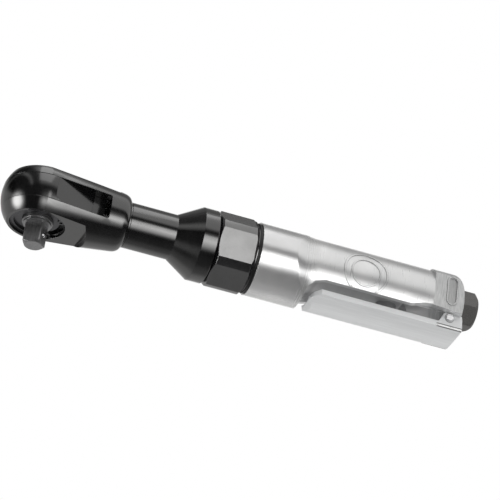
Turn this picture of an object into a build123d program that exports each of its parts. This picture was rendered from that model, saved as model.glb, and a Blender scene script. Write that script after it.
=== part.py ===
from build123d import *
import math
import os

# Air ratchet, 3/8 in square drive, built as the separate pieces it comes apart into.
# The tool is modelled about its long axis, with X from the ratchet head (front) to the air inlet
# (rear) and Z up from the drive square to the reversing knob; pieces that turn about the drive
# axis are modelled about that axis. keep() puts both in one frame, whose origin is the centre
# of the drive square at the shoulder a socket seats against. Millimetres and degrees.
# Cutters overrun what they cut, so their round outer limits (30, 60) are not sizes.

# ---- fits ----
RUN_FIT = 0.03          # radial clearance of a turning journal
SEAT_FIT = 0.02         # radial clearance of a ball bearing

# ---- drive square and axes ----
SQ = 9.525              # drive square, across flats
SQ_LEN = 12.3           # drive square length below its shoulder
SQ_TURN = -31.0         # rest angle of the square about Z
AXIS_Z = 14.4           # height of the tool's long axis above the square's shoulder
DRIVE_X, DRIVE_Z = 2.0, -1.0     # drive axis and middle of the ratchet, from the tool's axis
SHOULDER = -AXIS_Z - DRIVE_Z     # square's shoulder, from the middle of the ratchet

# ---- head ----
HEAD_R = 21.4           # ball nose of the head
HEAD_FLAT, HEAD_TOP = 12.9, 12.4 # turned flats below and above the middle of the ratchet
FLAT_R, TOP_R = 26.0, 40.4       # radius of the turned flats about the drive axis
SHANK_X, SHANK_R = 43.0, 15.95
NECK_X0, NECK_X1, NECK_R = 47.9, 73.8, 12.3
NECK_BEND = 0.706       # share of the way from shank to neck of the curve's middle point
FLANGE_X0, FLANGE_X1, FLANGE_R = 86.8, 95.0, 20.0
SPIGOT_X, SPIGOT_R = 104.0, 15.5
SLOT_H, SLOT_X = 6.75, 36.0      # yoke slot half height and end
SLOT_ROUND = 1.0        # radius in the corners of the slot's end

# ---- ratchet, Z from the middle of the ratchet ----
RECESS_R, RECESS_Z = 14.8, -9.35 # washer recess under the head
GROOVE_R = 15.45        # snap ring groove
SNAP_Z = (-11.6, -10.5)
RING_GAP = (-22.0, 50.0)         # where the snap ring is open, about the drive axis
GAP_R = 11.4            # the opening in the washer and the notch stop at this radius
COLLAR_R, COLLAR_END = 8.1, 7.45
WASHER_BORE = COLLAR_R + 0.2
ANVIL_R, ANVIL_TOP_R = 10.8, 9.6 # journals in the head
YOKE_H = 6.6            # yoke half thickness
YOKE_TEETH = 48
TOOTH_TURN = 360 / YOKE_TEETH
YOKE_TIP, YOKE_ROOT = 11.0, 11.9
YOKE_SLOT = 6.1         # half width of the tail slot, with the open pivot's clearance
SKIN_GAP = 0.12         # yoke inside the head's outer surface
PAWL_X = -8.6           # pawl pin
PAWL_PIN_BORE = 1.62
PAWL_H = 4.4            # pawl half height
PAWL_R, PAWL_TOOTH = 10.55, 0.55 # pawl tips and tooth depth
DETENT_Z = SHOULDER - 5.9
KNOB_SHAFT_R = 4.2

# ---- crank and planet gears ----
ECC = 1.8               # crank eccentricity
BUSH_R, PIN_R = 3.2, 2.2
CRANK_R, CRANK_BEARING_R = 5.0, 9.5   # inside and outside the ball bearing
MOD, PRESSURE_ANGLE = 0.62, math.radians(25)
SUN_TEETH, PLANET_TEETH, RING_TEETH = 12, 12, 36
ADDENDUM, DEDENDUM = 0.72 * MOD, 1.1 * MOD
PLANET_C = MOD * (SUN_TEETH + PLANET_TEETH) / 2
PLANET_ANGLES = (90, 210, 330)
GEAR_X0, GEAR_X1 = 84.6, 91.0
GEAR_THIN = 0.10        # taken off each tooth's arc thickness

# ---- clamp nut ----
NUT_X0, NUT_X1 = 95.35, 117.4
NUT_R, NUT_AF = 20.7, 38.1
NUT_BORE = 17.2
SEAL_X1 = 118.7

# ---- motor ----
MOTOR_R = 15.2          # cylinder and end plates
CYL_BORE, CYL_OFF = 12.7, 1.4    # bore radius, and its offset along Z
CYL_X0, CYL_X1 = 107.4, 135.0
ROTOR_R = 11.0
ROTOR_X0, ROTOR_X1 = 107.6, 134.8
FRONT_SHAFT_R, FRONT_BEARING_R = 4.5, 8.5
REAR_SHAFT_R, REAR_BEARING_R = 3.0, 7.5
VANES = 5
VANE_T = 1.5
VANE_ANGLES = [63.0 + 360 / VANES * k for k in range(VANES)]
PORT_X = (121.0, 126.0, 131.0)    # exhaust ports through the cylinder and the barrel wall
PORT_W = 3.2
CYL_PIN = (-13.2, -4.2)           # Y, Z of the pin between cylinder and rear plate
CYL_PIN_BORE = 1.3

# ---- housing ----
BODY_X0, BODY_X1, BODY_R = 118.8, 235.2, 20.0
HANDLE_Y = 17.2                   # half width of the grip
TRANS_X0, TRANS_X1 = 139.0, 152.0 # barrel narrows to the grip
SIDE_C = 4.4            # the grip's side faces are arcs about an axis this far past the middle
SIDE_R = HANDLE_Y + SIDE_C
BLOCK_X, BLOCK_Y, BLOCK_R = 217.6, 15.6, 20.3    # rear block
BLOCK_ROUND = 6         # radius of its rear edge
THREAD_R, THREAD_FLOOR = 17.1, 16.45
THREAD_X, THREAD_PITCH, THREAD_GROOVES = 106.3, 1.75, 7
CAVITY_R = 15.25
CAVITY_X0, CAVITY_X1 = 104.3, 141.2
FLOOR = 6.2             # recess floor below the axis
SKIRT = 9.4             # grip side skirts reach this far below the axis
RAIL_Y, RAIL_Z, RAIL_X = 8.8, 12.6, 203.0
BADGE_X, BADGE_Z = 178.0, 0.6
OUTLINE_X, OUTLINE_Z = 227.8, 4.2    # middle of the raised outline on the rear block

# ---- throttle and inlet ----
LEVER_PIN_X, LEVER_PIN_Z = 229.0, -10.1
LEVER_Y = 11.3
LEVER_RO, LEVER_RI = 19.8, 17.4
LEVER_X0, LEVER_X1 = 150.6, 236.6
EAR_Z = -15.8           # foot of the lever's ears
STEM_X, STEM_R = 196.0, 1.5
VALVE_R, VALVE_SEAT_R, VALVE_SEAT_Z = 3.0, 2.3, -2.0
VALVE_Z = VALVE_SEAT_Z + math.sqrt(VALVE_R ** 2 - VALVE_SEAT_R ** 2)
INLET_Z = 3.0
THREAD_MINOR = 5.7
HEX_AF, HEX_TURN = 19.05, 10
HEX_X0, HEX_X1 = BODY_X1 + 0.5, 245.8

OUT = "parts"
os.makedirs("parts", exist_ok=True)
for old in os.listdir(OUT):
    if old.endswith(".step"):
        os.remove(os.path.join(OUT, old))


# ---- helpers ----
def cylinder(radius, length):
    return Cylinder(radius, length, align=(Align.CENTER, Align.CENTER, Align.MIN))


def cyl_x(radius, x0, x1, y=0.0, z=0.0):
    return Location((x0, y, z), (0, 90, 0)) * cylinder(radius, x1 - x0)


def cyl_y(radius, y0, y1, x=0.0, z=0.0):
    return Location((x, y0, z), (-90, 0, 0)) * cylinder(radius, y1 - y0)


def cyl_z(radius, z0, z1, x=0.0, y=0.0):
    return Pos(x, y, z0) * cylinder(radius, z1 - z0)


def tube_x(outer, inner, x0, x1):
    return cyl_x(outer, x0, x1) - cyl_x(inner, x0 - 1, x1 + 1)


def tube_z(outer, inner, z0, z1):
    return cyl_z(outer, z0, z1) - cyl_z(inner, z0 - 1, z1 + 1)


def block(x0, x1, y0, y1, z0, z1):
    return Pos((x0 + x1) / 2, (y0 + y1) / 2, (z0 + z1) / 2) * Box(x1 - x0, y1 - y0, z1 - z0)


def fuse(shapes):
    whole = shapes[0]
    for shape in shapes[1:]:
        whole += shape
    return whole


def stack(cyl, rows):
    """Joined cylinders from rows of (radius, start, end), made by cyl_x or cyl_z."""
    return fuse([cyl(*row) for row in rows])


def rev_x(points):
    """Solid of revolution about X from (x, r) points; the first and last lie on the axis."""
    return revolve(make_face(Plane.XY * Polyline(*points, close=True)), Axis.X, 360)


def prism(plane, points, length, direction):
    return extrude(make_face(plane * Polyline(*points, close=True)), length, dir=direction)


def prism_x(points, x0, x1):
    """Closed (y, z) outline pushed along X from x0 to x1."""
    plane = Plane(origin=(x0, 0, 0), x_dir=(0, 1, 0), z_dir=(1, 0, 0))
    return prism(plane, points, x1 - x0, (1, 0, 0))


def prism_y(points, y0, y1):
    """Closed (x, z) outline pushed along Y from y0 to y1."""
    plane = Plane(origin=(0, y0, 0), x_dir=(1, 0, 0), z_dir=(0, -1, 0))
    return prism(plane, points, y1 - y0, (0, 1, 0))


def prism_z(points, z0, z1):
    return prism(Plane(origin=(0, 0, z0)), points, z1 - z0, (0, 0, 1))


def polar(radius, degrees, centre=(0.0, 0.0)):
    a = math.radians(degrees)
    return (centre[0] + radius * math.cos(a), centre[1] + radius * math.sin(a))


def wedge(radius, start, end):
    """Outline of a sector from the centre, its arc in four chords."""
    return [(0, 0)] + [polar(radius, start + (end - start) * k / 4) for k in range(5)]


def hexagon(across_flats, turn):
    return [polar(across_flats / math.sqrt(3), turn + 60 * k) for k in range(6)]


def involute(base_r, r):
    t = math.sqrt(max((r / base_r) ** 2 - 1, 0.0))
    return t - math.atan(t)


def gear_outline(teeth, above, below, thin, phase, centre=(0.0, 0.0)):
    """Spur gear from below to above the pitch circle, with a tooth centred at phase."""
    pitch_r = teeth * MOD / 2
    base_r = pitch_r * math.cos(PRESSURE_ANGLE)
    tip_r, root_r = pitch_r + above, pitch_r - below
    half = (math.pi * MOD / 2 - thin) / 2 / pitch_r + involute(base_r, pitch_r)
    low = max(root_r, base_r)
    radii = [low + (tip_r - low) * k / 5 for k in range(6)]
    flank = [(r, half - involute(base_r, r)) for r in radii]
    if root_r < base_r - 1e-6:
        flank = [(root_r, half)] + flank
    both = [(r, -a) for r, a in flank] + flank[::-1]
    points = []
    for k in range(teeth):
        middle = phase + 360 * k / teeth
        points += [polar(r, middle + math.degrees(a), centre) for r, a in both]
    return points


def ball_bearing(x0, x1, inner_r, outer_r, balls):
    """Outer race, inner race and balls of a deep-groove bearing, as separate solids."""
    width = outer_r - inner_r
    race = width * 0.26
    mid_r, mid_x = (inner_r + outer_r) / 2, (x0 + x1) / 2
    ball_r = min(width * 0.28, (x1 - x0) * 0.34)
    groove = Location((mid_x, 0, 0), (0, 90, 0)) * Torus(mid_r, ball_r + 0.02)
    solids = [tube_x(outer_r, outer_r - race, x0, x1) - groove,
              tube_x(inner_r + race, inner_r, x0, x1) - groove]
    for k in range(balls):
        solids.append(Pos(mid_x, *polar(mid_r, 360 * k / balls)) * Sphere(ball_r - 0.02))
    return solids


def spring(radius, wire_r, length, turns):
    """Helical spring along +Z from 0 to length."""
    height = length - 2 * wire_r
    path = Helix(pitch=height / turns, height=height, radius=radius)
    profile = Plane(origin=path @ 0, z_dir=path % 0) * Circle(wire_r)
    return Pos(0, 0, wire_r) * sweep(profile, path=path, is_frenet=True)


def keep(name, shape, drive=False):
    """Place a piece in the frame and write it. drive: it was modelled about the drive axis."""
    solids = []
    for s in shape if isinstance(shape, list) else [shape]:
        solids += s.solids()
    place = Pos(0, 0, AXIS_Z + DRIVE_Z) if drive else Pos(-DRIVE_X, 0, AXIS_Z)
    moved = [place * s for s in solids]
    node = moved[0] if len(moved) == 1 else Compound(children=moved)
    export_step(node, os.path.join(OUT, name + ".step"))


# ================= ratchet head =================
def head_blank():
    nose = HEAD_R * math.sqrt(0.5)
    bend = (SHANK_X + NECK_BEND * (NECK_X0 - SHANK_X),
            NECK_R + NECK_BEND * (SHANK_R - NECK_R))
    with BuildSketch(Plane.XY) as profile:
        with BuildLine():
            ThreePointArc((DRIVE_X - HEAD_R, 0), (DRIVE_X - nose, nose), (DRIVE_X, HEAD_R))
            Line((DRIVE_X, HEAD_R), (SHANK_X, SHANK_R))
            Spline((SHANK_X, SHANK_R), bend, (NECK_X0, NECK_R),
                   tangents=[(1, -0.12), (-0.03, -1)])
            Polyline((NECK_X0, NECK_R), (NECK_X1, NECK_R), (FLANGE_X0, FLANGE_R),
                     (FLANGE_X1 - 0.5, FLANGE_R), (FLANGE_X1, FLANGE_R - 0.5),
                     (FLANGE_X1, SPIGOT_R), (SPIGOT_X, SPIGOT_R), (SPIGOT_X, 0),
                     (DRIVE_X - HEAD_R, 0))
        make_face()
    return revolve(profile.sketch, Axis.X, 360)


def yoke_slot():
    """Slot open at the nose and both sides, its rear corners rounded."""
    low = SLOT_H - SLOT_ROUND
    round_x = SLOT_X - SLOT_ROUND
    slot = block(-30, SLOT_X - 2, -30, 30, -SLOT_H, SLOT_H)
    slot += block(SLOT_X - 3, SLOT_X, -30, 30, -low, low)
    slot += cyl_y(SLOT_ROUND, -30, 30, round_x, low) + cyl_y(SLOT_ROUND, -30, 30, round_x, -low)
    return slot + block(SLOT_X - 3, round_x, -30, 30, -SLOT_H, SLOT_H)


def ratchet_head():
    head = head_blank()
    # shallow groove around the front of the neck
    head -= tube_x(NECK_R + 1, NECK_R - 0.35, NECK_X0, NECK_X0 + 0.9)
    # turned flats above and below, ended by a round wall about the drive axis
    head -= cyl_z(TOP_R, DRIVE_Z + HEAD_TOP, 30, DRIVE_X)
    head -= cyl_z(FLAT_R, -30, DRIVE_Z - HEAD_FLAT, DRIVE_X)
    head -= Pos(0, 0, DRIVE_Z) * yoke_slot()
    # journal bores of the anvil, washer recess, snap ring groove
    seat = stack(cyl_z, [(ANVIL_TOP_R + RUN_FIT, 0, 30), (ANVIL_R + RUN_FIT, -9.4, 0),
                         (RECESS_R, -30, RECESS_Z), (GROOVE_R, -11.7, -10.45)])
    # pliers notch
    notch = prism_z(wedge(30, *RING_GAP), -9.5, -8.0) & cyl_z(RECESS_R, -10, -7.5)
    notch -= cyl_z(GAP_R, -11, -7)
    head -= Pos(DRIVE_X, 0, DRIVE_Z) * seat
    head -= Pos(DRIVE_X, 0, DRIVE_Z) * notch
    # crank bores: clearance, needle bearing, clearance, ball bearing, planet cage
    head -= stack(cyl_x, [(5.6, 30, 40), (7.02, 38, 51), (5.7, 50, 74),
                          (CRANK_BEARING_R + SEAT_FIT, 71, 78), (11.3, 76.2, 86)])
    # ring gear and end plate bore
    head -= cyl_x(13.55, 84.1, 110)
    # groove of the split ring behind the nut's lip
    return head - tube_x(20, 14.6, 99.3, 100.8)


keep("ratchet_head", ratchet_head())
# split ring that the nut's lip pulls on
keep("nut_split_ring", tube_x(16.7, 14.65, 99.35, 100.7) - block(99, 101, -1.6, 1.6, 10, 20))

needles = [cyl_x(0.82, 39.0, 49.6, *polar(5.4, 22.5 * k)) for k in range(16)]
keep("crank_needle_bearing", [tube_x(6.99, 6.28, 38.3, 50.3)] + needles)
keep("crank_ball_bearing", ball_bearing(71.1, 76.0, CRANK_R + SEAT_FIT, CRANK_BEARING_R, 9))


# ================= ratchet, about the drive axis =================
# (x, y) down the +Y side of the yoke's plan, nose to tail
YOKE_SIDE = [(4.0, 30.0), (4.0, 20.1), (7.2, 18.8), (16.4, 14.9), (25.6, 11.0), (32.4, 9.2)]
# (radius, share of a tooth's turn) round one tooth
YOKE_TOOTH = [(YOKE_TIP, -0.10), (YOKE_TIP, 0.10), (YOKE_ROOT, 0.44), (YOKE_ROOT, 0.56)]


def ratchet_yoke():
    outline = [(-30, -30)] + [(x, -y) for x, y in YOKE_SIDE] + YOKE_SIDE[::-1] + [(-30, 30)]
    plan = prism_z(outline, -YOKE_H, YOKE_H)
    shank = SHANK_X - DRIVE_X
    cone = [(0, 0), (0, HEAD_R - SKIN_GAP), (shank, SHANK_R - SKIN_GAP), (shank, 0)]
    yoke = plan & (Pos(0, 0, -DRIVE_Z) * (Sphere(HEAD_R - SKIN_GAP) + rev_x(cone)))
    yoke -= prism_z([polar(r, (k + share) * TOOTH_TURN)
                     for k in range(YOKE_TEETH) for r, share in YOKE_TOOTH], -10, 10)
    return yoke - block(19.2 - DRIVE_X, 40, -YOKE_SLOT, YOKE_SLOT, -10, 10)


def drive_anvil():
    anvil = stack(cyl_z, [(ANVIL_R, -9.3, -6.75), (COLLAR_R, SHOULDER + 1.3, -9.2),
                          (COLLAR_END, SHOULDER, SHOULDER + 1.4), (10.5, -6.8, 6.7),
                          (ANVIL_TOP_R, 6.6, 12.1)])
    # square with turned corners and a tapered end
    end, top, half = SHOULDER - SQ_LEN, SHOULDER + 0.5, SQ / 2
    square = Rot(0, 0, SQ_TURN) * block(-half, half, -half, half, end, top)
    turned = cyl_z(6.35, end + 1.3, top)
    turned += Pos(0, 0, end) * Cone(4.7, 6.35, 1.3, align=(Align.CENTER, Align.CENTER, Align.MIN))
    anvil += square & turned
    # bore for the reversing knob, pawl pocket, plunger window, pawl pin hole
    anvil -= cyl_z(KNOB_SHAFT_R + 0.05, -5.7, 20)
    pocket = prism_z(wedge(16, 132, 228), -PAWL_H - 0.2, PAWL_H + 0.2)
    anvil -= pocket - cyl_z(6.1, -5, 5)
    anvil -= prism_z(wedge(9, 126, 234), -1.7, 1.7)
    anvil -= cyl_z(PAWL_PIN_BORE, -8.4, 6.4, PAWL_X, 0)
    # socket detent hole
    return anvil - DETENT_PLACE * cyl_x(1.66, -1.0, 6)


def pawl():
    outer = []
    for t in range(-40, 41, 2):
        r = PAWL_R
        if abs(t) >= 16:
            r -= PAWL_TOOTH * (1 - abs(2 * ((t / TOOTH_TURN) % 1.0) - 1))
        outer.append(polar(r, 180 + t))
    inner = [polar(6.65, 180 + t) for t in range(40, -41, -8)]
    return prism_z(outer + inner, -PAWL_H, PAWL_H) - cyl_z(PAWL_PIN_BORE, -5, 5, PAWL_X, 0)


def reverse_knob():
    """Fluted cap with a finger tab, and a shaft down the anvil."""
    cap = cyl_z(10.2, 12.7, 15.8) - cyl_z(5.6, 14.9, 18)
    cap -= fuse([cyl_z(1.7, 12, 18, *polar(11.1, 30 * k + 15)) for k in range(12)])
    tab = block(-9.8, 9.8, -1.7, 1.7, 14.5, 17.1) & cyl_z(9.8, 14, 20)
    # the last cut is the plunger's bore
    return cap + tab + cyl_z(KNOB_SHAFT_R, -5.5, 13.6) - cyl_x(1.32, -5, 1.4)


def snap_ring():
    z0, z1 = SNAP_Z
    snap = tube_z(GROOVE_R - 0.12, 12.6, z0, z1) - prism_z(wedge(30, *RING_GAP), -13, -10)
    for lug_at in (RING_GAP[0] - 4, RING_GAP[1] + 4):
        x, y = polar(12.7, lug_at)
        snap += cyl_z(1.95, z0, z1, x, y)
        snap -= cyl_z(0.9, -13, -10, x, y)
    return snap


DETENT_PLACE = Location((0, 0, DETENT_Z), (0, 0, SQ_TURN))
keep("ratchet_yoke", ratchet_yoke(), drive=True)
keep("drive_anvil", drive_anvil(), drive=True)
keep("detent_ball", Pos(*polar(4.0, SQ_TURN), DETENT_Z) * Sphere(1.6), drive=True)
detent_coil = Location((-0.95, 0, 0), (0, 90, 0)) * spring(1.05, 0.17, 3.2, 4.0)
keep("detent_spring", DETENT_PLACE * detent_coil, drive=True)

keep("pawl_pin", cyl_z(1.58, -8.3, 6.3, PAWL_X, 0), drive=True)
keep("pawl", pawl(), drive=True)
keep("reverse_knob", reverse_knob(), drive=True)
plunger = cyl_x(1.28, -5.1, -1.7) + Pos(-5.0, 0, 0) * Sphere(1.28)
keep("reverse_plunger", plunger, drive=True)
reverse_coil = spring(0.85, 0.16, 2.9, 4.0)
keep("reverse_spring", Location((-1.62, 0, 0), (0, 90, 0)) * reverse_coil, drive=True)

# washers and snap ring that hold the anvil in
keep("friction_washer", tube_z(10.7, WASHER_BORE, -9.75, -9.36), drive=True)
washer = tube_z(RECESS_R - 0.2, WASHER_BORE, -10.42, -9.79)
washer -= prism_z(wedge(30, *RING_GAP), -11, -9) - cyl_z(GAP_R, -12, -8)
keep("thrust_washer", washer, drive=True)
keep("snap_ring", snap_ring(), drive=True)

# ================= crank and planet gears =================
crank = stack(cyl_x, [(4.52, 35.4, 66.5), (CRANK_R, 66.4, 77.0), (10.3, 77.4, 83.9),
                      (6.3, 76.4, 77.5)])
crank += cyl_x(PIN_R, 22.0, 36.0, 0, ECC)
keep("crankshaft", crank - cyl_x(3.6, 80.5, 90))
bushing = cyl_x(BUSH_R, 22.4, 31.6, 0, ECC) - cyl_x(PIN_R + RUN_FIT, 20, 40, 0, ECC)
keep("drive_bushing", bushing)
keep("planet_pins", [cyl_x(1.5, 83.95, 91.3, *polar(PLANET_C, a)) for a in PLANET_ANGLES])

for k, angle in enumerate(PLANET_ANGLES):
    centre = polar(PLANET_C, angle)
    outline = gear_outline(PLANET_TEETH, ADDENDUM, DEDENDUM, GEAR_THIN, angle + 15, centre)
    planet = prism_x(outline, GEAR_X0, GEAR_X1) - cyl_x(1.54, 80, 95, *centre)
    keep(f"planet_gear_{k + 1}", planet)
ring_cut = gear_outline(RING_TEETH, DEDENDUM, ADDENDUM, -GEAR_THIN, 95)
keep("ring_gear", cyl_x(13.5, 84.2, 92.3) - prism_x(ring_cut, 80, 95))


# ================= clamp nut and seal ring =================
def clamp_nut():
    rim = NUT_R + 0.3
    # (x, r) of the chamfered ends
    ends = [(NUT_X0 - 1, 0), (NUT_X0 - 1, 18.0), (NUT_X0, 18.3), (NUT_X0 + 1.6, rim),
            (NUT_X1 - 2.6, rim), (NUT_X1 - 0.6, 18.6), (NUT_X1, 18.6), (NUT_X1 + 1, 18.5),
            (NUT_X1 + 1, 0)]
    nut = cyl_x(NUT_R, NUT_X0, NUT_X1) & rev_x(ends)
    # wrench flats, stopping short of a round collar at the rear
    flats = prism_x(hexagon(NUT_AF, 44.6), NUT_X0 - 2, NUT_X1 + 1)
    nut -= cyl_x(30, NUT_X0 - 1, NUT_X1 - 1.6) - flats
    return nut - (cyl_x(15.75, 90, 120) + cyl_x(NUT_BORE, 99.2, 120))


keep("clamp_nut", clamp_nut())
keep("nut_seal_ring", tube_x(19.2, NUT_BORE, NUT_X1 + 0.05, SEAL_X1))


# ================= motor =================
def cut_ports(shape, outer_y):
    """Cut the exhaust ports on the +Y side."""
    for x in PORT_X:
        shape -= block(x, x + PORT_W, 8, outer_y, -9.5, -3.0)
    return shape


def rotor():
    shape = stack(cyl_x, [(ROTOR_R, ROTOR_X0, ROTOR_X1), (FRONT_SHAFT_R, 94.5, ROTOR_X0 + 1),
                          (3.4, 91.15, 95), (REAR_SHAFT_R, ROTOR_X1 - 1, 141.0)])
    sun = gear_outline(SUN_TEETH, ADDENDUM, DEDENDUM, GEAR_THIN, 90)
    shape += prism_x(sun, GEAR_X0, 91.5)
    half = VANE_T / 2 + 0.05
    for angle in VANE_ANGLES:
        slot = block(ROTOR_X0 - 1, ROTOR_X1 + 1, -half, half, -ROTOR_R - 1, -4.2)
        shape -= Rot(angle, 0, 0) * slot
    return shape


front_plate = cyl_x(13.5, 92.4, 104.3) + cyl_x(MOTOR_R, 104.2, 107.3)
front_plate -= stack(cyl_x, [(5.2, 90, 110), (FRONT_BEARING_R + SEAT_FIT, 98.0, 103.1),
                             (6.6, 103, 110)])
keep("front_end_plate", front_plate)
keep("front_rotor_bearing",
     ball_bearing(98.1, 103.0, FRONT_SHAFT_R + SEAT_FIT, FRONT_BEARING_R, 8))

motor = cyl_x(MOTOR_R, CYL_X0, CYL_X1) - cyl_x(CYL_BORE, 100, 140, 0, CYL_OFF)
motor = cut_ports(motor, 20)
keep("motor_cylinder", motor - cyl_x(CYL_PIN_BORE, 131.0, 137, *CYL_PIN))

rear_plate = cyl_x(MOTOR_R, CYL_X1 + 0.1, 141.1) - cyl_x(4.2, 130, 145)
rear_plate -= cyl_x(REAR_BEARING_R + SEAT_FIT, 136.0, 143)
rear_plate -= cyl_x(CYL_PIN_BORE, 130, 145, *CYL_PIN)
rear_plate -= cyl_x(1.6, 130, 145, -5.5, 10.6) + cyl_x(1.6, 130, 145, 5.5, 10.6)
keep("rear_end_plate", rear_plate)
keep("rear_rotor_bearing",
     ball_bearing(136.1, 141.0, REAR_SHAFT_R + SEAT_FIT, REAR_BEARING_R, 7))
keep("cylinder_pin", cyl_x(1.26, 131.1, 141.0, *CYL_PIN))

keep("rotor", rotor())
vane = block(ROTOR_X0 + 0.1, ROTOR_X1 - 0.1, -VANE_T / 2, VANE_T / 2, -10.9, -4.65)
for k, angle in enumerate(VANE_ANGLES):
    keep(f"rotor_vane_{k + 1}", Rot(angle, 0, 0) * vane)


# ================= housing =================
def side_cut(side):
    """What is taken off one side to narrow the round barrel down to the grip."""
    x0, x1, r0 = TRANS_X0 - 2.0, BLOCK_X + 8, SIDE_R + 3.0
    with BuildSketch(Plane.XY) as sketch:
        with BuildLine():
            Spline((x0, r0), (TRANS_X1, SIDE_R), tangents=[(1, -0.10), (1, 0)])
            Polyline((TRANS_X1, SIDE_R), (x1, SIDE_R), (x1, 40), (x0, 40), (x0, r0))
        make_face()
    ring = Pos(0, -side * SIDE_C, 0) * revolve(sketch.sketch, Axis.X, 360)
    return ring & block(100, 260, *sorted((0, side * 60)), -60, 60)


def rear_block():
    corner_x, corner_r = BODY_X1 - BLOCK_ROUND, BLOCK_R - BLOCK_ROUND
    arc = [math.radians(t) for t in range(0, 91, 6)]
    rounded = rev_x([(BLOCK_X, 0), (BLOCK_X, BLOCK_R)]
                    + [(corner_x + BLOCK_ROUND * math.sin(a), corner_r + BLOCK_ROUND * math.cos(a))
                       for a in arc] + [(BODY_X1, 0)])
    return rounded & block(BLOCK_X, BODY_X1 + 1, -BLOCK_Y, BLOCK_Y, -30, 30)


# (x, z) outlines of the lever recess: full width under the skirts, then between them
SKIRT_CUT = [(TRANS_X1 + 5, -SKIRT), (206, -SKIRT), (209, -8.5), (213, -7.4), (217, -6.9),
             (251, -9.3), (251, -31), (146.5, -30), (147.0, -20), (148.4, -14), (151.4, -11.0)]
FLOOR_CUT = [(TRANS_X1 + 4, -FLOOR), (RAIL_X - 1, -FLOOR), (RAIL_X - 1, -29), (147.0, -29),
             (147.2, -19), (147.9, -13.4), (149.2, -9.4), (151.8, -7.2)]
# (x, z) of the rail for the lever pin
RAIL = [(RAIL_X, -FLOOR + 1), (RAIL_X + 2.6, -RAIL_Z), (BODY_X1 - 2.0, -RAIL_Z),
        (BODY_X1, -RAIL_Z + 2.0), (BODY_X1, -FLOOR + 1)]


def stadium(width, height, side, depth0, depth1):
    """Upright slot shape on one side of the block, between two depths from its face."""
    r = width / 2
    low, high = OUTLINE_Z - height / 2 + r, OUTLINE_Z + height / 2 - r
    y0, y1 = sorted((side * (BLOCK_Y + depth0), side * (BLOCK_Y + depth1)))
    shape = block(OUTLINE_X - r, OUTLINE_X + r, y0, y1, low, high)
    return shape + cyl_y(r, y0, y1, OUTLINE_X, high) + cyl_y(r, y0, y1, OUTLINE_X, low)


def badge_rings(side):
    """Two raised rings on one side of the grip."""
    pad = cyl_x(SIDE_R + 0.35, 160, 200, -side * SIDE_C, 0)
    pad -= cyl_x(SIDE_R - 0.5, 150, 210, -side * SIDE_C, 0)
    outer, outer_in, inner, inner_in = [cyl_y(r, *sorted((side * 8, side * 30)), BADGE_X, BADGE_Z)
                                        for r in (12.6, 11.5, 8.4, 7.6)]
    rings = (outer - outer_in) + (inner - inner_in)
    return (rings & pad) - block(150, 210, -30, 30, -30, -SKIRT + 0.3)


def motor_housing():
    body = cyl_x(BODY_R, BODY_X0, BLOCK_X)
    body -= side_cut(1)
    body -= side_cut(-1)
    body += rear_block()
    body -= prism_y(SKIRT_CUT, -30, 30)
    body -= prism_y(FLOOR_CUT, -12, 12)
    body -= block(RAIL_X - 1.5, 250, -12, 12, -29, -FLOOR)
    body += prism_y(RAIL, -RAIL_Y, RAIL_Y)
    # boss for the throttle stem
    body += cyl_z(5.6, -11.2, 0, STEM_X, 0)
    # front thread for the clamp nut, as plain grooves
    body += cyl_x(THREAD_R, CAVITY_X0, BODY_X0 + 1)
    for k in range(THREAD_GROOVES):
        x = THREAD_X + THREAD_PITCH * k
        body -= rev_x([(x, 30), (x, 16.6), (x + 0.25, THREAD_FLOOR), (x + 0.55, THREAD_FLOOR),
                       (x + 0.8, 16.6), (x + 0.8, 30)])
    body -= cyl_x(CAVITY_R, 100, CAVITY_X1) + cyl_x(8.6, 140, 143.5)
    # air passages: inlet, screen seat, passage to the valve, valve chamber, motor feed
    body -= cyl_x(8.2, 223.9, 250, 0, INLET_Z)
    body -= cyl_x(6.2, 219.5, 224, 0, INLET_Z)
    body -= cyl_x(4.2, STEM_X, 220, 0, INLET_Z)
    body -= cyl_z(4.02, -12, 11.5, STEM_X, 0)
    body -= cyl_x(1.9, 142, STEM_X - 2, 0, -2.6)
    body = cut_ports(body, 25)
    body -= cyl_y(1.85, -30, 30, LEVER_PIN_X, LEVER_PIN_Z)
    for side in (-1, 1):
        body += badge_rings(side)
        # raised blank outline on the rear block
        body += stadium(6.4, 17.6, side, -0.3, 0.45)
        body -= stadium(4.7, 15.9, side, -0.35, 1.0)
    return body


keep("motor_housing", motor_housing())


# ================= throttle =================
def throttle_bushing():
    shape = cyl_z(4.0, -11.1, VALVE_SEAT_Z, STEM_X)
    for r, z0, z1 in ((1.56, -12, -1), (2.75, -12, -9.4), (VALVE_SEAT_R, -5.4, -1)):
        shape -= cyl_z(r, z0, z1, STEM_X)
    return shape - cyl_x(1.4, STEM_X - 6, STEM_X, 0, -3.6)


def throttle_stem():
    stem = cyl_z(STEM_R, -16.6, VALVE_Z - VALVE_R - 0.02, STEM_X)
    stem += Pos(STEM_X, 0, -16.6) * Sphere(STEM_R)
    stem += cyl_z(2.4, -14.6, -13.6, STEM_X)
    return stem - block(190, 202, -3, 3, -30, -17.15)


# (x, z) outline of the lever's ears
EAR = [(220.8, EAR_Z), (222.6, -14.6), (225.4, -8.6), (226.6, -7.1), (228.0, -6.72),
       (234.6, -6.72), (236.0, -7.6), (236.4, -9.6), (236.6, EAR_Z)]


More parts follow.
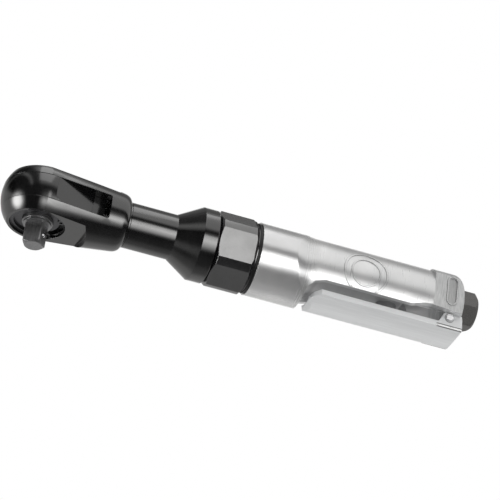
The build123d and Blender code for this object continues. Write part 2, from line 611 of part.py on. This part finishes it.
def throttle_lever():
    x0, x1 = LEVER_X0, LEVER_X1
    lever = tube_x(LEVER_RO, LEVER_RI, x0, x1) & block(x0, x1, -LEVER_Y, LEVER_Y, -30, 0)
    ears = prism_y(EAR, -LEVER_Y, LEVER_Y) - block(210, 245, -9.0, 9.0, -30, 0)
    lever += ears & cyl_x(LEVER_RO, 200, 250)
    # bead along the foot of each ear
    for y in (0.1 - LEVER_Y, LEVER_Y - 0.1):
        lever += cyl_x(0.7, 222.6, x1 - 0.2, y, EAR_Z) + Pos(222.6, y, EAR_Z) * Sphere(0.7)
    # rear and front ends sloped, front corners trimmed
    lever -= prism_y([(x1 + 0.2, -13.0), (x1 - 0.1, -16.6), (x1 - 2.4, -21), (260, -21),
                      (260, -13)], -20, 20)
    lever -= prism_y([(x0 - 1, -21), (x0 + 5.0, -21), (x0 + 1.2, -17.6), (x0, -15.4),
                      (x0 - 1, -15.4)], -20, 20)
    for s in (-1, 1):
        lever -= prism_z([(x0 - 1, s * 5.0), (x0, s * 5.0), (x0 + 2.4, s * 9.4),
                          (x0 + 6.0, s * 11.35), (x0 + 6.0, s * 14), (x0 - 1, s * 14)], -30, 0)
    return lever - cyl_y(1.87, -30, 30, LEVER_PIN_X, LEVER_PIN_Z)


def lever_pin():
    """Pin with a domed head at -Y and a small collar at +Y."""
    place = (LEVER_PIN_X, LEVER_PIN_Z)
    pin = cyl_y(1.82, -11.4, 11.9, *place) + cyl_y(2.1, -11.75, -11.36, *place)
    dome = Sphere(2.1) & block(-5, 5, -0.9, 0, -5, 5)
    pin += Pos(LEVER_PIN_X, -11.75, LEVER_PIN_Z) * dome
    return pin + cyl_y(2.05, 11.36, 11.9, *place)


keep("throttle_bushing", throttle_bushing())
keep("stem_seal", Pos(STEM_X, 0, -10.2) * Torus(2.13, 0.56))
keep("throttle_stem", throttle_stem())
keep("valve_ball", Pos(STEM_X, 0, VALVE_Z) * Sphere(VALVE_R))
valve_coil = spring(2.6, 0.28, 11.3 - (VALVE_Z + 1.55), 5.0)
keep("throttle_spring", Pos(STEM_X, 0, VALVE_Z + 1.6) * valve_coil)
keep("throttle_lever", throttle_lever())
keep("lever_pin", lever_pin())


# ================= air inlet =================
def air_inlet_bushing():
    # (x, r) of the chamfered hexagon
    ends = [(230, 0), (230, 12), (HEX_X0, 8.9), (BODY_X1 + 1.9, 11.2), (HEX_X1 - 2.2, 11.2),
            (HEX_X1, 8.8), (HEX_X1, 0)]
    inlet = Pos(0, 0, INLET_Z) * (prism_x(hexagon(HEX_AF, HEX_TURN), HEX_X0, HEX_X1) & rev_x(ends))
    inlet += cyl_x(8.15, 226.2, BODY_X1 + 0.6, 0, INLET_Z)
    inlet += cyl_x(9.2, BODY_X1 + 0.1, BODY_X1 + 1.0, 0, INLET_Z)
    return inlet - (cyl_x(THREAD_MINOR, 228.4, 260, 0, INLET_Z) + cyl_x(4.6, 220, 240, 0, INLET_Z))


def inlet_screen():
    cup = cyl_x(6.1, 220.0, 223.4, 0, INLET_Z) - cyl_x(5.5, 219.5, 222.8, 0, INLET_Z)
    # rings of holes: (radius, count)
    return cup - fuse([cyl_x(0.55, 222, 224, *polar(r, 360 * k / n, (0, INLET_Z)))
                       for r, n in ((0, 1), (2.0, 6), (3.9, 12)) for k in range(n)])


keep("air_inlet_bushing", air_inlet_bushing())
keep("inlet_screen", inlet_screen())
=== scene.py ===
"""Looks and studio for an air ratchet.

The tool lies along x: the ratchet head at the low end, the air inlet at the high end, the
throttle lever under the rear of the housing. y runs across the tool and z is up. The camera
looks up at it from the -y side and below. All lengths are in metres.
"""
import math

import bpy
from mathutils import Matrix, Vector

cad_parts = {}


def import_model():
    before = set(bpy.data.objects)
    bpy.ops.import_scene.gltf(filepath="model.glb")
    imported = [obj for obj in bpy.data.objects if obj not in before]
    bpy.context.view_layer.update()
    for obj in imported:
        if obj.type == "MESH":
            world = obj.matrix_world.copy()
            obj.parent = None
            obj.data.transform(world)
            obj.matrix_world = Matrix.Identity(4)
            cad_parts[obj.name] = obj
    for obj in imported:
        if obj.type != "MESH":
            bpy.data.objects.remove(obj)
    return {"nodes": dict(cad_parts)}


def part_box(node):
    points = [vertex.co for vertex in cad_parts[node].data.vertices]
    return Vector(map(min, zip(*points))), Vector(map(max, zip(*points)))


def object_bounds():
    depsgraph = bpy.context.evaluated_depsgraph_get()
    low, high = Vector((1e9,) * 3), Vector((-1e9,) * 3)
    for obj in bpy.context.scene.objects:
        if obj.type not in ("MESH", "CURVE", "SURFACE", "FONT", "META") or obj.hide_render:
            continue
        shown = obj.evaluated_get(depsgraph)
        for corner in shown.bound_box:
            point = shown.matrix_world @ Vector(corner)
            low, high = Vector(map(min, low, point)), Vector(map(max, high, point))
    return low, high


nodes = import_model()["nodes"]
cad_lo, cad_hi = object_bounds()
middle = (cad_lo + cad_hi) / 2

# The clamp nut locates the tool: its centre gives the height of the long axis, and its head-end
# face gives the origin that stations along the tool are measured from.
NUT_STATION = 0.09535
nut_lo, nut_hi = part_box("clamp_nut")
AXIS = (nut_lo.z + nut_hi.z) / 2
ORIGIN = nut_lo.x - NUT_STATION


def at_x(start, end):
    """Object x of two stations along the tool."""
    return ORIGIN + start, ORIGIN + end


def at_z(start, end):
    """Object z of two heights measured from the long axis."""
    return AXIS + start, AXIS + end


# ---------------------------------------------------------------- node helpers
class NodeTree:
    """Short-hand for building the node tree of a material or a world."""

    def __init__(self, owner, coordinates):
        owner.use_nodes = True
        self.tree = owner.node_tree
        self.tree.nodes.clear()
        self.coords = self.add("TexCoord").outputs[coordinates]

    def put(self, socket, value):
        """Link a socket to another one, or set its value."""
        if hasattr(value, "links"):
            self.tree.links.new(value, socket)
        else:
            socket.default_value = value

    def add(self, kind, inputs=None, **settings):
        node = self.tree.nodes.new("ShaderNode" + kind)
        for name, value in settings.items():
            setattr(node, name, value)
        for key, value in (inputs or {}).items():
            self.put(node.inputs[key], value)
        return node

    def math(self, operation, a, b=0.0, clamp=False):
        return self.add("Math", {0: a, 1: b}, operation=operation, use_clamp=clamp).outputs[0]

    def plus(self, a, b):
        return self.math("ADD", a, b)

    def minus(self, a, b):
        return self.math("SUBTRACT", a, b)

    def times(self, a, b, clamp=False):
        return self.math("MULTIPLY", a, b, clamp)

    def dot(self, a, b):
        node = self.add("VectorMath", {0: a, 1: b}, operation="DOT_PRODUCT")
        return node.outputs["Value"]

    def ramp(self, value, stops):
        """Piecewise-linear curve over 0..1 through (place, height) stops."""
        top = max(height for _, height in stops)
        node = self.add("FloatCurve", {"Value": value})
        points = node.mapping.curves[0].points
        while len(points) < len(stops):
            points.new(0.5, 0.5)
        for point, (place, height) in zip(points, stops):
            point.location = (place, height / top)
            point.handle_type = "VECTOR"
        node.mapping.update()
        return self.times(node.outputs[0], top)


class Material(NodeTree):
    """A Principled material with patterns in object coordinates."""

    def __init__(self, name):
        self.material = bpy.data.materials.new(name)
        super().__init__(self.material, "Object")
        self.bsdf = self.add("BsdfPrincipled")
        self.output = self.add("OutputMaterial", {0: self.bsdf.outputs[0]})

    def surface(self, color, roughness, metallic=0.0):
        self.put(self.bsdf.inputs["Base Color"], color)
        self.put(self.bsdf.inputs["Roughness"], roughness)
        self.put(self.bsdf.inputs["Metallic"], metallic)

    def noise(self, scale, detail=2, rough=0.5, squeeze=None):
        """Noise; a squeeze factor under 1 draws the marks out along that axis."""
        coords = self.coords
        if squeeze:
            node = self.add("VectorMath", {0: coords, 1: squeeze}, operation="MULTIPLY")
            coords = node.outputs[0]
        inputs = {"Vector": coords, "Scale": scale, "Detail": detail, "Roughness": rough}
        return self.add("TexNoise", inputs).outputs["Fac"]

    def remap(self, value, over=(0.3, 0.7), to=(0.0, 1.0), smooth=False):
        """Clamped map from one range to another; by default the usual swing of noise to 0..1."""
        kind = "SMOOTHSTEP" if smooth else "LINEAR"
        inputs = {0: value, 1: over[0], 2: over[1], 3: to[0], 4: to[1]}
        return self.add("MapRange", inputs, clamp=True, interpolation_type=kind).outputs[0]

    def fall(self, value, over):
        return self.remap(value, over, to=(1.0, 0.0))

    def between(self, value, lower, upper):
        """1 between two soft limits, 0 outside them."""
        return self.times(self.remap(value, lower), self.fall(value, upper))

    def mix(self, factor, a, b):
        """Blend of two colours, each a socket or an RGB tuple."""
        a, b = (c if hasattr(c, "links") else (*c, 1.0) for c in (a, b))
        return self.add("Mix", {0: factor, 6: a, 7: b}, data_type="RGBA").outputs[2]

    def xyz(self):
        return self.add("SeparateXYZ", {0: self.coords}).outputs

    def bevel(self, radius):
        """Normal of the shape with its edges rounded."""
        return self.add("Bevel", {"Radius": radius}, samples=4).outputs[0]

    def edge(self, size):
        """1 on edges, 0 on open faces: how far the rounded normal leaves the true one."""
        normal = self.add("NewGeometry").outputs["Normal"]
        return self.remap(self.dot(self.bevel(size), normal), over=(0.93, 0.72))

    def bump(self, height, strength, distance, round_edges=0.0):
        inputs = {"Height": height, "Strength": strength, "Distance": distance}
        if round_edges:
            inputs["Normal"] = self.bevel(round_edges)
        self.put(self.bsdf.inputs["Normal"], self.add("Bump", inputs).outputs[0])


# ---------------------------------------------------------------- materials
def black_coat(name, base, rough, ior, wear=0.25):
    """Semi-gloss black coating with faint flow marks and edges rubbed a little brighter."""
    g = Material(name)
    big = g.noise(scale=120, detail=3)
    fine = g.noise(scale=2600, rough=0.6)
    patches = g.noise(scale=420, detail=3, rough=0.6)
    tone = g.mix(g.remap(big), base, tuple(c * 1.8 + 0.0015 for c in base))
    worn = g.remap(patches, over=(0.42, 0.68), to=(0.0, wear))
    rubbed = g.times(g.edge(size=0.0005), worn, clamp=True)
    sheen = g.remap(big, over=(0.25, 0.75), to=(rough * 0.85, rough * 1.2))
    g.surface(
        color=g.mix(rubbed, tone, (0.11, 0.11, 0.115)),
        roughness=g.plus(sheen, g.remap(fine, to=(-0.015, 0.02))))
    g.put(g.bsdf.inputs["IOR"], ior)
    g.bump(fine, strength=0.10, distance=0.00004, round_edges=0.00035)
    return g.material


def metal(name, base, rough, scale, tint, bump, squeeze=(1, 1, 1), metallic=1.0,
          round_edges=0.0002, dirt=0.0):
    """Worked metal. Marks of the given scale vary its colour by tint."""
    g = Material(name)
    marks = g.noise(scale=scale, detail=4, rough=0.6, squeeze=squeeze)
    big = g.noise(scale=90)
    dark = tuple(c * (1 - tint) for c in base)
    light = tuple(min(1.0, c * (1 + tint)) for c in base)
    color = g.mix(g.remap(marks), dark, light)
    if dirt:
        specks = g.noise(scale=260, detail=4, rough=0.7)
        color = g.mix(g.remap(specks, over=(0.55, 0.8), to=(0.0, dirt)), color, (0.03,) * 3)
    worked = g.remap(marks, to=(rough * 0.8, rough * 1.2))
    g.surface(color, g.plus(worked, g.remap(big, to=(-0.02, 0.03))), metallic)
    g.bump(marks, strength=bump, distance=0.00003, round_edges=round_edges)
    return g.material


def lever_plate():
    """Satin lever with painted light: a painted highlight along the bend on each side, a painted
    dark reflection line above and below it, and a painted shadow ring round the pin."""
    bend_z = AXIS - 0.0158
    pin_x, pin_z = ORIGIN + 0.2290, AXIS - 0.0101

    g = Material("lever_satin")
    x, y, z = g.xyz()
    marks = g.noise(scale=900, detail=4, rough=0.6, squeeze=(0.05, 1, 1))
    big = g.noise(scale=90)
    outer = g.remap(g.math("ABSOLUTE", y), over=(0.0107, 0.0110))

    # painted highlight on the bend and painted dark reflection either side of it, only at the
    # hinge end
    off = g.math("ABSOLUTE", g.minus(z, bend_z))
    tail = g.times(outer, g.remap(x, at_x(0.2216, 0.2224)))
    bend_shade_lines = g.times(tail, g.between(off, (0.00050, 0.00066), (0.00105, 0.00135)))
    bend_highlight = g.times(tail, g.fall(off, (0.00045, 0.00058)))

    # painted shadow: a dark ring about the pin that is strongest towards -x and -z
    dx, dz = g.minus(x, pin_x), g.minus(z, pin_z)
    away = g.math("SQRT", g.plus(g.times(dx, dx), g.times(dz, dz)))
    pin_shadow = g.times(outer, g.between(away, (0.00215, 0.0023), (0.0026, 0.0029)))
    slant = g.minus(g.times(dx, -1.0), dz)
    pin_shadow = g.times(pin_shadow, g.remap(slant, over=(-0.0030, 0.0020), to=(0.12, 0.8)))

    color = g.mix(g.remap(marks), (0.80, 0.81, 0.82), (0.88, 0.89, 0.90))
    # painted light over the lever's colour: dark reflection by the bend, shadow round the pin,
    # highlight on the bend
    color = g.mix(g.times(bend_shade_lines, 0.88), color, (0.05, 0.05, 0.05))
    color = g.mix(pin_shadow, color, (0.10, 0.10, 0.105))
    color = g.mix(bend_highlight, color, (0.96, 0.96, 0.96))
    rough = g.plus(g.remap(marks, to=(0.34, 0.50)), g.remap(big, to=(-0.02, 0.03)))
    g.surface(color, roughness=g.minus(rough, g.times(bend_highlight, 0.2)), metallic=0.32)
    g.bump(marks, strength=0.10, distance=0.00003, round_edges=0.0004)
    return g.material


def rubbery(name, base, rough):
    g = Material(name)
    fine = g.noise(scale=1800, detail=3, rough=0.6)
    mottle = g.remap(fine, over=(0.35, 0.65))
    g.surface(
        color=g.mix(mottle, base, tuple(c * 1.7 + 0.002 for c in base)),
        roughness=g.remap(fine, to=(rough * 0.9, rough * 1.1)))
    g.bump(fine, strength=0.25, distance=0.00006)
    return g.material


def phenolic(name):
    """Brown laminate with fine wavy layers."""
    g = Material(name)
    inputs = {"Vector": g.coords, "Scale": 900, "Distortion": 1.2}
    layers = g.add("TexWave", inputs).outputs["Fac"]
    g.surface(
        color=g.mix(layers, (0.16, 0.075, 0.03), (0.28, 0.15, 0.07)),
        roughness=g.remap(layers, over=(0.0, 1.0), to=(0.5, 0.65)))
    g.bump(layers, strength=0.2, distance=0.00003)
    return g.material


def cast_housing():
    """Polished barrel and grip, a satin rear block with upright marks, a rougher cast recess
    underneath darkened with painted shade, and painted shade as dark edging round two outlines
    on the sides."""
    g = Material("housing_polished")
    x, y, z = g.xyz()
    turned = g.noise(scale=60, detail=3, rough=0.55, squeeze=(60, 1.2, 1.2))
    upright = g.noise(scale=2300, detail=4, rough=0.7, squeeze=(1, 1, 0.07))
    pebble = g.noise(scale=1500, detail=3, rough=0.6)
    big = g.noise(scale=55)

    # where each region lies
    block = g.remap(x, at_x(0.2172, 0.2178))
    duller = g.remap(x, at_x(0.1400, 0.1520), smooth=True)
    inside = g.times(g.fall(z, at_z(-0.0066, -0.0058)), g.remap(x, at_x(0.150, 0.156)))
    inside = g.times(inside, g.fall(g.math("ABSOLUTE", y), (0.0119, 0.0125)))
    side = g.math("ABSOLUTE", y)
    rail = g.times(g.fall(side, (0.0086, 0.0090)), g.remap(x, at_x(0.2022, 0.2030)))
    pill = g.times(
        g.between(x, at_x(0.2238, 0.2242), at_x(0.2314, 0.2318)),
        g.between(z, at_z(-0.0056, -0.0052), at_z(0.0136, 0.0140)))
    pill = g.times(pill, g.remap(side, over=(0.0150, 0.0152)))
    pill_floor = g.times(pill, g.fall(side, (0.01535, 0.01545)))
    ring = g.times(
        g.between(x, at_x(0.1640, 0.1645), at_x(0.1915, 0.1920)),
        g.between(z, at_z(-0.0128, -0.0125), at_z(0.0137, 0.0140)))
    outline_shade = g.times(g.edge(size=0.00045), g.math("MAXIMUM", pill, ring), clamp=True)

    color = g.mix(g.remap(big), (0.66, 0.665, 0.67), (0.80, 0.80, 0.80))
    streaks = g.times(block, g.remap(upright, over=(0.35, 0.65)))
    color = g.mix(streaks, color, (0.52, 0.53, 0.53))
    # painted shade: the recess underneath is darkened, all but the rail
    shade = g.times(inside, g.times(g.minus(1.0, rail), 0.7))
    color = g.mix(shade, color, (0.26, 0.26, 0.27))
    # painted shade: dark edging in the creases round the ring and the pill
    color = g.mix(g.times(outline_shade, 0.85), color, (0.10, 0.10, 0.10))
    color = g.mix(g.times(pill_floor, 0.45), color, (0.30, 0.30, 0.30))

    polish = g.plus(g.remap(turned, to=(0.19, 0.26)), g.times(duller, 0.08))
    satin = g.remap(upright, to=(0.34, 0.50))
    rough = g.plus(g.times(polish, g.minus(1.0, block)), g.times(satin, block))
    rough = g.plus(rough, g.times(inside, 0.22))
    g.surface(color, rough, metallic=0.72)

    # relief: weights of the upright marks, the pebbling and the turning marks
    height = g.plus(g.times(g.times(upright, block), 0.9), g.times(pebble, 0.10))
    height = g.plus(height, g.times(turned, 0.04))
    g.bump(height, strength=0.32, distance=0.00008, round_edges=0.0004)
    return g.material


# each material and the pieces that wear it
LOOKS = (
    (black_coat("head_coat", base=(0.0030, 0.0030, 0.0032), rough=0.13, ior=1.95),
     "ratchet_head"),
    (black_coat("yoke_coat", base=(0.0036, 0.0036, 0.0038), rough=0.15, ior=1.78, wear=0.3),
     "ratchet_yoke"),
    (black_coat("nut_coat", base=(0.008, 0.008, 0.0085), rough=0.13, ior=2.45),
     "clamp_nut"),
    (rubbery("seal_ring_black", base=(0.006, 0.006, 0.006), rough=0.5),
     "nut_seal_ring"),
    (cast_housing(), "motor_housing"),
    (lever_plate(), "throttle_lever"),
    (metal("pin_chrome", base=(0.82, 0.82, 0.83), rough=0.10, scale=500, tint=0.04, bump=0.06),
     "lever_pin"),
    (metal("drive_dark_steel", base=(0.30, 0.30, 0.305), rough=0.38, scale=1500, tint=0.25,
           bump=0.20, squeeze=(1, 1, 0.25), metallic=0.85, round_edges=0.0004),
     "drive_anvil"),
    (metal("inlet_dark_oxide", base=(0.13, 0.127, 0.123), rough=0.44, scale=1800, tint=0.30,
           bump=0.35, metallic=0.6, round_edges=0.0005),
     "reverse_knob air_inlet_bushing"),
    (metal("ground_steel", base=(0.48, 0.48, 0.49), rough=0.25, scale=900, tint=0.12,
           bump=0.12, squeeze=(1, 0.2, 0.2), dirt=0.1),
     "detent_spring pawl pawl_pin reverse_plunger reverse_spring crankshaft planet_pins "
     "planet_gear_1 planet_gear_2 planet_gear_3 ring_gear front_end_plate motor_cylinder "
     "cylinder_pin rear_end_plate rotor throttle_stem throttle_spring"),
    (metal("oxide_steel", base=(0.10, 0.10, 0.105), rough=0.36, scale=1200, tint=0.2,
           bump=0.2, metallic=0.9),
     "nut_split_ring friction_washer thrust_washer snap_ring"),
    (metal("bearing_steel", base=(0.66, 0.66, 0.68), rough=0.12, scale=700, tint=0.05,
           bump=0.05),
     "detent_ball crank_needle_bearing crank_ball_bearing front_rotor_bearing "
     "rear_rotor_bearing valve_ball"),
    (metal("sintered_bronze", base=(0.55, 0.36, 0.15), rough=0.42, scale=2500, tint=0.25,
           bump=0.3),
     "drive_bushing"),
    (metal("turned_brass", base=(0.72, 0.53, 0.22), rough=0.22, scale=120, tint=0.08,
           bump=0.1, squeeze=(60, 1, 1)),
     "throttle_bushing inlet_screen"),
    (rubbery("oring_rubber", base=(0.012, 0.012, 0.012), rough=0.6), "stem_seal"),
    (phenolic("vane_phenolic"),
     "rotor_vane_1 rotor_vane_2 rotor_vane_3 rotor_vane_4 rotor_vane_5"),
)
look_of = {piece: look for look, pieces in LOOKS for piece in pieces.split()}
for name, piece in nodes.items():
    piece.data.materials.clear()
    piece.data.materials.append(look_of[name])

scene = bpy.context.scene
scene.view_settings.view_transform = "Standard"

# ---------------------------------------------------------------- camera
# the camera's own axes, and the tool's origin measured along them
RIGHT = (0.94256451, -0.31180885, 0.11978055)
DOWN = (0.25577993, 0.44314052, -0.85918747)
AHEAD = (0.21482265, 0.84047708, 0.49744297)
ORIGIN_SEEN = Vector((-0.111121, -0.025664, 1.34288))


def add_camera():
    data = bpy.data.cameras.new("camera")
    data.sensor_width = 36.0
    data.lens = 184.824
    data.clip_start, data.clip_end = 0.05, 20.0
    place = Vector((ORIGIN, 0, AXIS)) - Matrix((RIGHT, DOWN, AHEAD)).transposed() @ ORIGIN_SEEN
    turn = Matrix((Vector(RIGHT), -Vector(DOWN), -Vector(AHEAD))).transposed()
    camera = bpy.data.objects.new("camera", data)
    camera.matrix_world = Matrix.Translation(place) @ turn.to_4x4()
    scene.collection.objects.link(camera)
    scene.camera = camera


add_camera()

# ---------------------------------------------------------------- studio
# A wrap-round of soft panels with dark gaps between them. AROUND tables are (degrees, strength)
# about the x axis: 0 faces the viewer and 90 is the top of the view. ALONG tables are
# (place, strength): 0 is towards -x, the head end, and 1 towards +x.
PANELS_AROUND = (
    (-180, 0.62), (-112, 0.62), (-94, 0.31), (-76, 0.23), (-60, 0.09), (-20, 0.03),
    (34, 0.04), (50, 0.07), (61, 0.95), (112, 0.98), (128, 0.30), (155, 0.26), (180, 0.62))
# the upper panel stops short of the head end, where the room beyond it is dark
HOOD_AROUND = ((-180, 0.0), (36, 0.0), (52, 1.0), (165, 1.0), (180, 0.0))
HOOD_ALONG = (
    (0.0, 0.03), (0.14, 0.03), (0.18, 0.85), (0.215, 0.10), (0.30, 0.12), (0.38, 0.9),
    (0.5, 1.0), (1.0, 1.0))
STRIP_AROUND = (
    (-180, 0.0), (-16, 0.0), (-10, 0.35), (1, 2.1), (8, 3.0), (16, 4.6), (22, 4.4),
    (28, 3.7), (33, 2.9), (37, 0.5), (44, 0.0), (180, 0.0))
STRIP_ALONG = ((0.0, 0.0), (0.56, 0.0), (0.576, 1.0), (0.617, 1.0), (0.628, 0.0), (1.0, 0.0))
REAR_AROUND = (
    (-180, 0.0), (-2, 0.0), (6, 0.9), (12, 2.6), (19, 2.8), (25, 0.6), (32, 0.1), (40, 0.0),
    (180, 0.0))
REAR_ALONG = ((0.0, 0.0), (0.617, 0.0), (0.628, 1.0), (0.80, 1.0), (1.0, 0.2))
LOW_AROUND = (
    (-180, 0.0), (-20, 0.0), (-13, 0.45), (-7, 1.1), (1, 2.7), (8, 3.1), (16, 0.9),
    (30, 0.3), (42, 0.0), (180, 0.0))
LOW_ALONG = (
    (0.0, 0.0), (0.36, 0.0), (0.43, 0.5), (0.48, 1.0), (0.555, 1.0), (0.575, 0.1),
    (0.66, 0.1), (0.68, 1.0), (0.74, 1.0), (0.82, 0.0), (1.0, 0.0))
# lamp beyond the head end: its direction as parts of +x, toward the viewer and up the view,
# then (cosine of the angle from it, strength)
END_LAMP_PARTS = (-0.960, 0.20, -0.19)
END_LAMP = ((0.0, 0.0), (0.88, 0.0), (0.925, 0.6), (0.955, 2.8), (0.98, 7.0), (1.0, 8.5))


def studio_glow(w):
    """Strength of the studio in each direction."""
    # the view direction flattened across the x axis, and its upright
    across = math.sqrt(1 - AHEAD[0] ** 2)
    toward = (0.0, -AHEAD[1] / across, -AHEAD[2] / across)
    upward = (0.0, toward[2], -toward[1])
    turn = w.math("ARCTAN2", w.dot(w.coords, upward), w.dot(w.coords, toward))
    angle = w.plus(w.math("DIVIDE", turn, 2 * math.pi), 0.5)
    along = w.plus(w.times(w.dot(w.coords, (1.0, 0.0, 0.0)), 0.5), 0.5)

    def around(stops):
        return w.ramp(angle, [(degrees / 360.0 + 0.5, level) for degrees, level in stops])

    def strip(around_stops, along_stops):
        return w.times(around(around_stops), w.ramp(along, along_stops))

    dimmed = w.times(around(HOOD_AROUND), w.minus(1.0, w.ramp(along, HOOD_ALONG)))
    panels = w.times(around(PANELS_AROUND), w.minus(1.0, dimmed))
    part_x, part_toward, part_up = END_LAMP_PARTS
    lamp_y, lamp_z = (part_toward * toward[i] + part_up * upward[i] for i in (1, 2))
    end_lamp = w.ramp(w.dot(w.coords, (part_x, lamp_y, lamp_z)), END_LAMP)
    glow = w.plus(panels, strip(REAR_AROUND, REAR_ALONG))
    glow = w.plus(glow, strip(STRIP_AROUND, STRIP_ALONG))
    return w.plus(glow, w.plus(strip(LOW_AROUND, LOW_ALONG), end_lamp))


def add_world():
    """The studio lights the tool, but the camera sees plain white behind it."""
    world = bpy.data.worlds.new("studio")
    scene.world = world
    w = NodeTree(world, "Generated")
    studio = w.add("Background", {"Color": (1.0, 0.995, 0.985, 1), "Strength": studio_glow(w)})
    white = w.add("Background", {"Color": (1, 1, 1, 1), "Strength": 1.0})
    seen = w.add("LightPath").outputs["Is Camera Ray"]
    pick = w.add("MixShader", {0: seen, 1: studio.outputs[0], 2: white.outputs[0]})
    w.add("OutputWorld", {0: pick.outputs[0]})


add_world()


def area(name, direction, distance, size, watts):
    """Rectangular lamp that stands off in a direction and faces the middle of the tool."""
    data = bpy.data.lights.new(name, "AREA")
    data.shape = "RECTANGLE"
    data.size, data.size_y = size
    data.energy = watts
    lamp = bpy.data.objects.new(name, data)
    outward = Vector(direction).normalized()
    lamp.location = middle + outward * distance
    lamp.rotation_mode = "QUATERNION"
    lamp.rotation_quaternion = outward.to_track_quat("Z", "X")
    scene.collection.objects.link(lamp)
    return lamp


area("key", direction=(-0.15, -0.55, 0.95), distance=0.9, size=(0.9, 0.5), watts=1.5)
area("fill", direction=(0.25, 0.85, 0.50), distance=1.1, size=(0.9, 0.6), watts=1.0)
# light thrown up from below: it fills satin surfaces and isn't mirrored in polished ones
bounce = area("bounce", direction=(0.15, -0.62, -0.78), distance=0.9, size=(1.0, 0.7), watts=3.8)
bounce.visible_glossy = False
bounce.data.use_shadow = False

# ---------------------------------------------------------------- floor
FLOOR_HALF = 1.6
FLOOR_DROP = 0.035  # below the lowest point of the tool


def floor_pale():
    """Pale from above, clear from below."""
    g = Material("floor_pale")
    g.surface(
        color=g.mix(g.noise(scale=14), (0.84, 0.84, 0.835), (0.87, 0.87, 0.865)),
        roughness=0.9)
    below = g.add("NewGeometry").outputs["Backfacing"]
    clear = g.add("BsdfTransparent").outputs[0]
    sides = g.add("MixShader", {0: below, 1: g.bsdf.outputs[0], 2: clear})
    g.put(g.output.inputs[0], sides.outputs[0])
    return g.material


def add_floor():
    z = cad_lo.z - FLOOR_DROP
    corners = [(middle.x + x * FLOOR_HALF, y * FLOOR_HALF, z)
               for x, y in ((-1, -1), (1, -1), (1, 1), (-1, 1))]
    mesh = bpy.data.meshes.new("floor")
    mesh.from_pydata(corners, [], [(0, 1, 2, 3)])
    mesh.materials.append(floor_pale())
    floor = bpy.data.objects.new("floor", mesh)
    scene.collection.objects.link(floor)
    floor.visible_glossy = False
    return floor


add_floor()
